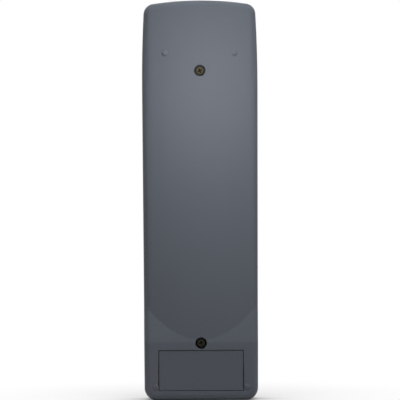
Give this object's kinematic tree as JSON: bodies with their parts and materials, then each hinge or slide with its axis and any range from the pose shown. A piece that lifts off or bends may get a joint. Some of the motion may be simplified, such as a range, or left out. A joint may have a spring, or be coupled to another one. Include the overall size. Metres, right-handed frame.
{
  "type": "universal remote control",
  "caption": "Slim handheld universal remote control with arched top, screwed two-part shell, heel with battery door, signal window and a keypad of pressing keys and tipping rockers.",
  "frame": {"origin": "middle of the flat bottom end, on the plane that the remote stands on", "axes": "+Z along the remote from its bottom end to its signal window, +Y out of the key side, +X to the right as seen from the back"},
  "size_m": [0.0624, 0.024, 0.215],
  "materials": {
    "rear_plastic": "satin",
    "front_plastic": "satin",
    "door_plastic": "satin",
    "window_plastic": "polished",
    "screw_steel": "zinc plated",
    "board_screw_steel": "zinc plated",
    "sheet_rubber": "matt",
    "board_laminate": "solder mask",
    "cell_sleeve": "gloss",
    "contact_steel": "plated",
    "emitter_resin": "clear",
    "lamp_resin": "clear",
    "lens_plastic": "polished",
    "chip_epoxy": "matt",
    "resonator_ceramic": "gloss",
    "can_sleeve": "gloss",
    "resistor_ceramic": "matt",
    "key_rubber": "matt",
    "power_rubber": "matt",
    "device_rubber": "matt",
    "ring_rubber": "matt"
  },
  "bodies": {
    "housing": {"rear_housing": "rear_plastic", "front_housing": "front_plastic", "infrared_window": "window_plastic", "housing_screws": "screw_steel", "indicator_lens": "lens_plastic", "main_board": "board_laminate", "keypad_sheet": "sheet_rubber", "upper_cell": "cell_sleeve", "lower_cell": "cell_sleeve", "positive_contact": "contact_steel", "negative_contact": "contact_steel", "bridge_contact": "contact_steel", "infrared_emitter": "emitter_resin", "indicator_lamp": "lamp_resin", "controller_chip": "chip_epoxy", "memory_chip": "chip_epoxy", "resonator": "resonator_ceramic", "reservoir_capacitor": "can_sleeve", "driver_transistor": "chip_epoxy", "board_resistors": "resistor_ceramic", "board_screws": "board_screw_steel"},
    "battery_door": {"battery_door": "door_plastic"},
    "power_key": {"power_key": "power_rubber"},
    "device_1_key": {"device_1_key": "device_rubber"},
    "device_2_key": {"device_2_key": "device_rubber"},
    "device_3_key": {"device_3_key": "device_rubber"},
    "device_4_key": {"device_4_key": "device_rubber"},
    "rewind_key": {"rewind_key": "key_rubber"},
    "play_key": {"play_key": "key_rubber"},
    "forward_key": {"forward_key": "key_rubber"},
    "record_key": {"record_key": "key_rubber"},
    "stop_key": {"stop_key": "key_rubber"},
    "pause_key": {"pause_key": "key_rubber"},
    "menu_key": {"menu_key": "key_rubber"},
    "guide_key": {"guide_key": "key_rubber"},
    "info_key": {"info_key": "key_rubber"},
    "exit_key": {"exit_key": "key_rubber"},
    "up_key": {"up_key": "ring_rubber"},
    "left_key": {"left_key": "ring_rubber"},
    "down_key": {"down_key": "ring_rubber"},
    "right_key": {"right_key": "ring_rubber"},
    "ok_key": {"ok_key": "ring_rubber"},
    "mute_key": {"mute_key": "key_rubber"},
    "last_key": {"last_key": "key_rubber"},
    "digit_1_key": {"digit_1_key": "key_rubber"},
    "digit_2_key": {"digit_2_key": "key_rubber"},
    "digit_3_key": {"digit_3_key": "key_rubber"},
    "digit_4_key": {"digit_4_key": "key_rubber"},
    "digit_5_key": {"digit_5_key": "key_rubber"},
    "digit_6_key": {"digit_6_key": "key_rubber"},
    "digit_7_key": {"digit_7_key": "key_rubber"},
    "digit_8_key": {"digit_8_key": "key_rubber"},
    "digit_9_key": {"digit_9_key": "key_rubber"},
    "dash_key": {"dash_key": "key_rubber"},
    "digit_0_key": {"digit_0_key": "key_rubber"},
    "enter_key": {"enter_key": "key_rubber"},
    "volume_rocker": {"volume_rocker": "key_rubber"},
    "channel_rocker": {"channel_rocker": "key_rubber"}
  },
  "joints": [
    {"name": "battery_door_hinge", "type": "hinge", "parent": "housing", "child": "battery_door", "pos_m": [0, -0.0112, 0.0054], "axis": [1, 0, 0], "range_deg": [0, 75]},
    {"name": "power_press", "type": "slide", "parent": "housing", "child": "power_key", "axis": [0, -1, 0], "range_m": [0, 0.0007], "stiffness_N_per_m": 1000},
    {"name": "device_1_press", "type": "slide", "parent": "housing", "child": "device_1_key", "axis": [0, -1, 0], "range_m": [0, 0.0007], "stiffness_N_per_m": 1000},
    {"name": "device_2_press", "type": "slide", "parent": "housing", "child": "device_2_key", "axis": [0, -1, 0], "range_m": [0, 0.0007], "stiffness_N_per_m": 1000},
    {"name": "device_3_press", "type": "slide", "parent": "housing", "child": "device_3_key", "axis": [0, -1, 0], "range_m": [0, 0.0007], "stiffness_N_per_m": 1000},
    {"name": "device_4_press", "type": "slide", "parent": "housing", "child": "device_4_key", "axis": [0, -1, 0], "range_m": [0, 0.0007], "stiffness_N_per_m": 1000},
    {"name": "rewind_press", "type": "slide", "parent": "housing", "child": "rewind_key", "axis": [0, -1, 0], "range_m": [0, 0.0007], "stiffness_N_per_m": 1000},
    {"name": "play_press", "type": "slide", "parent": "housing", "child": "play_key", "axis": [0, -1, 0], "range_m": [0, 0.0007], "stiffness_N_per_m": 1000},
    {"name": "forward_press", "type": "slide", "parent": "housing", "child": "forward_key", "axis": [0, -1, 0], "range_m": [0, 0.0007], "stiffness_N_per_m": 1000},
    {"name": "record_press", "type": "slide", "parent": "housing", "child": "record_key", "axis": [0, -1, 0], "range_m": [0, 0.0007], "stiffness_N_per_m": 1000},
    {"name": "stop_press", "type": "slide", "parent": "housing", "child": "stop_key", "axis": [0, -1, 0], "range_m": [0, 0.0007], "stiffness_N_per_m": 1000},
    {"name": "pause_press", "type": "slide", "parent": "housing", "child": "pause_key", "axis": [0, -1, 0], "range_m": [0, 0.0007], "stiffness_N_per_m": 1000},
    {"name": "menu_press", "type": "slide", "parent": "housing", "child": "menu_key", "axis": [0, -1, 0], "range_m": [0, 0.0007], "stiffness_N_per_m": 1000},
    {"name": "guide_press", "type": "slide", "parent": "housing", "child": "guide_key", "axis": [0, -1, 0], "range_m": [0, 0.0007], "stiffness_N_per_m": 1000},
    {"name": "info_press", "type": "slide", "parent": "housing", "child": "info_key", "axis": [0, -1, 0], "range_m": [0, 0.0007], "stiffness_N_per_m": 1000},
    {"name": "exit_press", "type": "slide", "parent": "housing", "child": "exit_key", "axis": [0, -1, 0], "range_m": [0, 0.0007], "stiffness_N_per_m": 1000},
    {"name": "up_press", "type": "slide", "parent": "housing", "child": "up_key", "axis": [0, -1, 0], "range_m": [0, 0.0007], "stiffness_N_per_m": 1000},
    {"name": "left_press", "type": "slide", "parent": "housing", "child": "left_key", "axis": [0, -1, 0], "range_m": [0, 0.0007], "stiffness_N_per_m": 1000},
    {"name": "down_press", "type": "slide", "parent": "housing", "child": "down_key", "axis": [0, -1, 0], "range_m": [0, 0.0007], "stiffness_N_per_m": 1000},
    {"name": "right_press", "type": "slide", "parent": "housing", "child": "right_key", "axis": [0, -1, 0], "range_m": [0, 0.0007], "stiffness_N_per_m": 1000},
    {"name": "ok_press", "type": "slide", "parent": "housing", "child": "ok_key", "axis": [0, -1, 0], "range_m": [0, 0.0007], "stiffness_N_per_m": 1000},
    {"name": "mute_press", "type": "slide", "parent": "housing", "child": "mute_key", "axis": [0, -1, 0], "range_m": [0, 0.0007], "stiffness_N_per_m": 1000},
    {"name": "last_press", "type": "slide", "parent": "housing", "child": "last_key", "axis": [0, -1, 0], "range_m": [0, 0.0007], "stiffness_N_per_m": 1000},
    {"name": "digit_1_press", "type": "slide", "parent": "housing", "child": "digit_1_key", "axis": [0, -1, 0], "range_m": [0, 0.0007], "stiffness_N_per_m": 1000},
    {"name": "digit_2_press", "type": "slide", "parent": "housing", "child": "digit_2_key", "axis": [0, -1, 0], "range_m": [0, 0.0007], "stiffness_N_per_m": 1000},
    {"name": "digit_3_press", "type": "slide", "parent": "housing", "child": "digit_3_key", "axis": [0, -1, 0], "range_m": [0, 0.0007], "stiffness_N_per_m": 1000},
    {"name": "digit_4_press", "type": "slide", "parent": "housing", "child": "digit_4_key", "axis": [0, -1, 0], "range_m": [0, 0.0007], "stiffness_N_per_m": 1000},
    {"name": "digit_5_press", "type": "slide", "parent": "housing", "child": "digit_5_key", "axis": [0, -1, 0], "range_m": [0, 0.0007], "stiffness_N_per_m": 1000},
    {"name": "digit_6_press", "type": "slide", "parent": "housing", "child": "digit_6_key", "axis": [0, -1, 0], "range_m": [0, 0.0007], "stiffness_N_per_m": 1000},
    {"name": "digit_7_press", "type": "slide", "parent": "housing", "child": "digit_7_key", "axis": [0, -1, 0], "range_m": [0, 0.0007], "stiffness_N_per_m": 1000},
    {"name": "digit_8_press", "type": "slide", "parent": "housing", "child": "digit_8_key", "axis": [0, -1, 0], "range_m": [0, 0.0007], "stiffness_N_per_m": 1000},
    {"name": "digit_9_press", "type": "slide", "parent": "housing", "child": "digit_9_key", "axis": [0, -1, 0], "range_m": [0, 0.0007], "stiffness_N_per_m": 1000},
    {"name": "dash_press", "type": "slide", "parent": "housing", "child": "dash_key", "axis": [0, -1, 0], "range_m": [0, 0.0007], "stiffness_N_per_m": 1000},
    {"name": "digit_0_press", "type": "slide", "parent": "housing", "child": "digit_0_key", "axis": [0, -1, 0], "range_m": [0, 0.0007], "stiffness_N_per_m": 1000},
    {"name": "enter_press", "type": "slide", "parent": "housing", "child": "enter_key", "axis": [0, -1, 0], "range_m": [0, 0.0007], "stiffness_N_per_m": 1000},
    {"name": "volume_tip", "type": "hinge", "parent": "housing", "child": "volume_rocker", "pos_m": [0.0185, 0.0073, 0.096], "axis": [1, 0, 0], "range_deg": [-4, 4], "stiffness_Nm_per_rad": 0.08},
    {"name": "channel_tip", "type": "hinge", "parent": "housing", "child": "channel_rocker", "pos_m": [-0.0185, 0.0073, 0.096], "axis": [1, 0, 0], "range_deg": [-4, 4], "stiffness_Nm_per_rad": 0.08}
  ]
}
